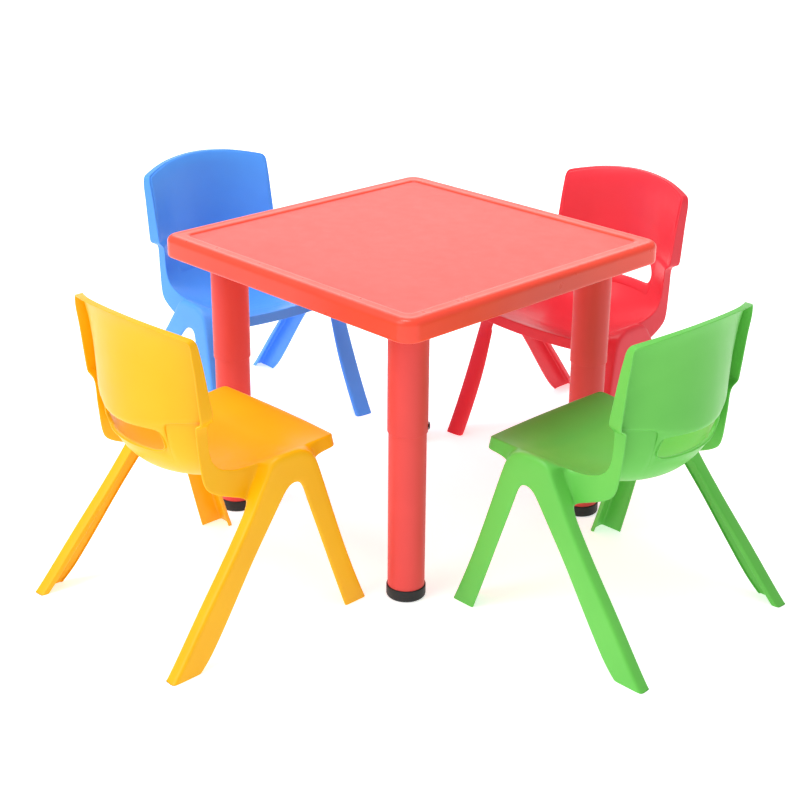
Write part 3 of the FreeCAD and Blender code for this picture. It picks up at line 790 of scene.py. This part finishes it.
def place_table_top():
    """The top, its sunk face in a grained red and the rest in a smooth one."""
    top = table_top_piece()
    top.data.materials.append(MATERIALS["table_red_grained"])
    dress(top, "table", "table_red", ["table_top"])
    for face in top.data.polygons:
        spot = face.center
        inside = max(abs(spot.x), abs(spot.y)) < (HALF_TOP - FACE_INSET) * MM
        face.material_index = 0 if inside and spot.z > (FACE_LEVEL - 1) * MM else 1


def place_leg(corner):
    """One leg's pieces. The lower tube and the lock nut are the CAD's own meshes."""
    side_x, side_y, facing = CORNERS[corner]
    x = TABLE_CENTRE[0] + side_x * LEG_SPREAD
    y = TABLE_CENTRE[1] + side_y * LEG_SPREAD
    turn = math.radians(facing)
    tube = upper_tube_piece(f"{corner}_upper_leg")
    tube.location = (x * MM, y * MM, 0)
    dress(tube, "table", "leg_red", [f"{corner}_upper_tube"])
    cap = foot_cap_piece(f"{corner}_foot")
    cap.location = (x * MM, y * MM, 0)
    dress(cap, f"{corner}_lower_leg", "foot_black", [f"{corner}_foot_cap"])
    screw = lock_screw_piece(f"{corner}_screw_head")
    out = Vector((math.cos(turn), math.sin(turn), 0))
    screw.location = (Vector((x, y, SCREW_LEVEL)) + out * UPPER_RADIUS) * MM
    screw.rotation_euler = out.to_track_quat("Z", "X").to_euler()
    dress(screw, f"{corner}_screw", "screw_black", [f"{corner}_lock_screw"])
    recolour(f"{corner}_lower_tube", "leg_red")
    recolour(f"{corner}_lock_nut", "steel")


def place_chair(colour, shape):
    """One chair, a copy of the shared shape."""
    x, y, facing = CHAIRS[colour]
    chair = bpy.data.objects.new(f"{colour}_moulding", shape.copy())
    bpy.context.scene.collection.objects.link(chair)
    chair.location = (x * MM, y * MM, 0)
    chair.rotation_euler = (0, 0, math.radians(facing))
    dress(chair, f"{colour}_seat", f"{colour}_plastic", [f"{colour}_chair"])


place_table_top()
for corner in CORNERS:
    place_leg(corner)
recolour("fixing_screws", "steel")
chair_shape = chair_mesh()
for colour in CHAIRS:
    place_chair(colour, chair_shape)

# ---------------------------------------------------------------------------------------------
# Floor, light and camera.

FLOOR_HALF = 40000
FLOOR_GAP = 0.5  # the floor lies this far under the feet
EYE = Vector((1.8128, -1.7524, 1.2583))
AZIMUTH, ELEVATION, ROLL = 45.77, 22.2034, 0.535  # degrees


def add_floor():
    """A plain pale floor, wide enough to fill the view."""
    work = bmesh.new()
    bmesh.ops.create_grid(work, x_segments=8, y_segments=8, size=FLOOR_HALF)
    floor = finish_mesh("studio_floor", work)
    floor.location = (0, 0, -FLOOR_GAP * MM)
    floor.data.materials.append(pale_floor_material())


def add_white_world():
    """Even white light from all round."""
    world = bpy.data.worlds.new("studio")
    bpy.context.scene.world = world
    world.use_nodes = True
    background = world.node_tree.nodes["Background"]
    background.inputs["Color"].default_value = (1, 1, 1, 1)
    background.inputs["Strength"].default_value = 0.55


def add_soft_box(name, place, aim, size, power):
    """A square area light pointed at a spot."""
    light = bpy.data.lights.new(name, "AREA")
    light.shape = "SQUARE"
    light.size = size
    light.energy = power
    lamp = bpy.data.objects.new(name, light)
    bpy.context.scene.collection.objects.link(lamp)
    lamp.location = place
    lamp.rotation_euler = (Vector(aim) - Vector(place)).to_track_quat("-Z", "Y").to_euler()


def add_key_light():
    """A very soft sun from the side of the yellow chair."""
    sun = bpy.data.lights.new("key", "SUN")
    sun.energy = 1.4
    sun.angle = math.radians(40)
    key = bpy.data.objects.new("key", sun)
    bpy.context.scene.collection.objects.link(key)
    key.rotation_euler = Vector((-0.35, -1.0, 1.0)).to_track_quat("Z", "Y").to_euler()


def add_camera():
    """The camera: a long lens looking down on the set, with a slight roll and a small shift."""
    lens = bpy.data.cameras.new("camera")
    lens.sensor_width = 36
    lens.lens = 68.98725
    lens.shift_x = -0.0022
    lens.shift_y = -0.0227
    lens.clip_end = 200
    camera = bpy.data.objects.new("camera", lens)
    bpy.context.scene.collection.objects.link(camera)
    azimuth, elevation, roll = (math.radians(angle) for angle in (AZIMUTH, ELEVATION, ROLL))
    level_right = Vector((math.cos(azimuth), math.sin(azimuth), 0))
    level_out = Vector((math.sin(azimuth), -math.cos(azimuth), 0))
    back = level_out * math.cos(elevation) + Vector((0, 0, math.sin(elevation)))
    level_up = back.cross(level_right)
    right = level_right * math.cos(roll) + level_up * math.sin(roll)
    up = back.cross(right)
    turn = Matrix((right, up, back)).transposed().to_4x4()
    camera.matrix_world = Matrix.Translation(EYE) @ turn
    bpy.context.scene.camera = camera


add_floor()
add_white_world()
add_soft_box("backdrop", (-2.6, 2.5, 1.45), (0, 0, 0.6), 2.6, 24)
add_soft_box("top", (-0.3, -0.4, 3.2), (0, 0, 0.3), 1.3, 44)
add_key_light()
add_camera()
bpy.context.scene.view_settings.view_transform = "Standard"
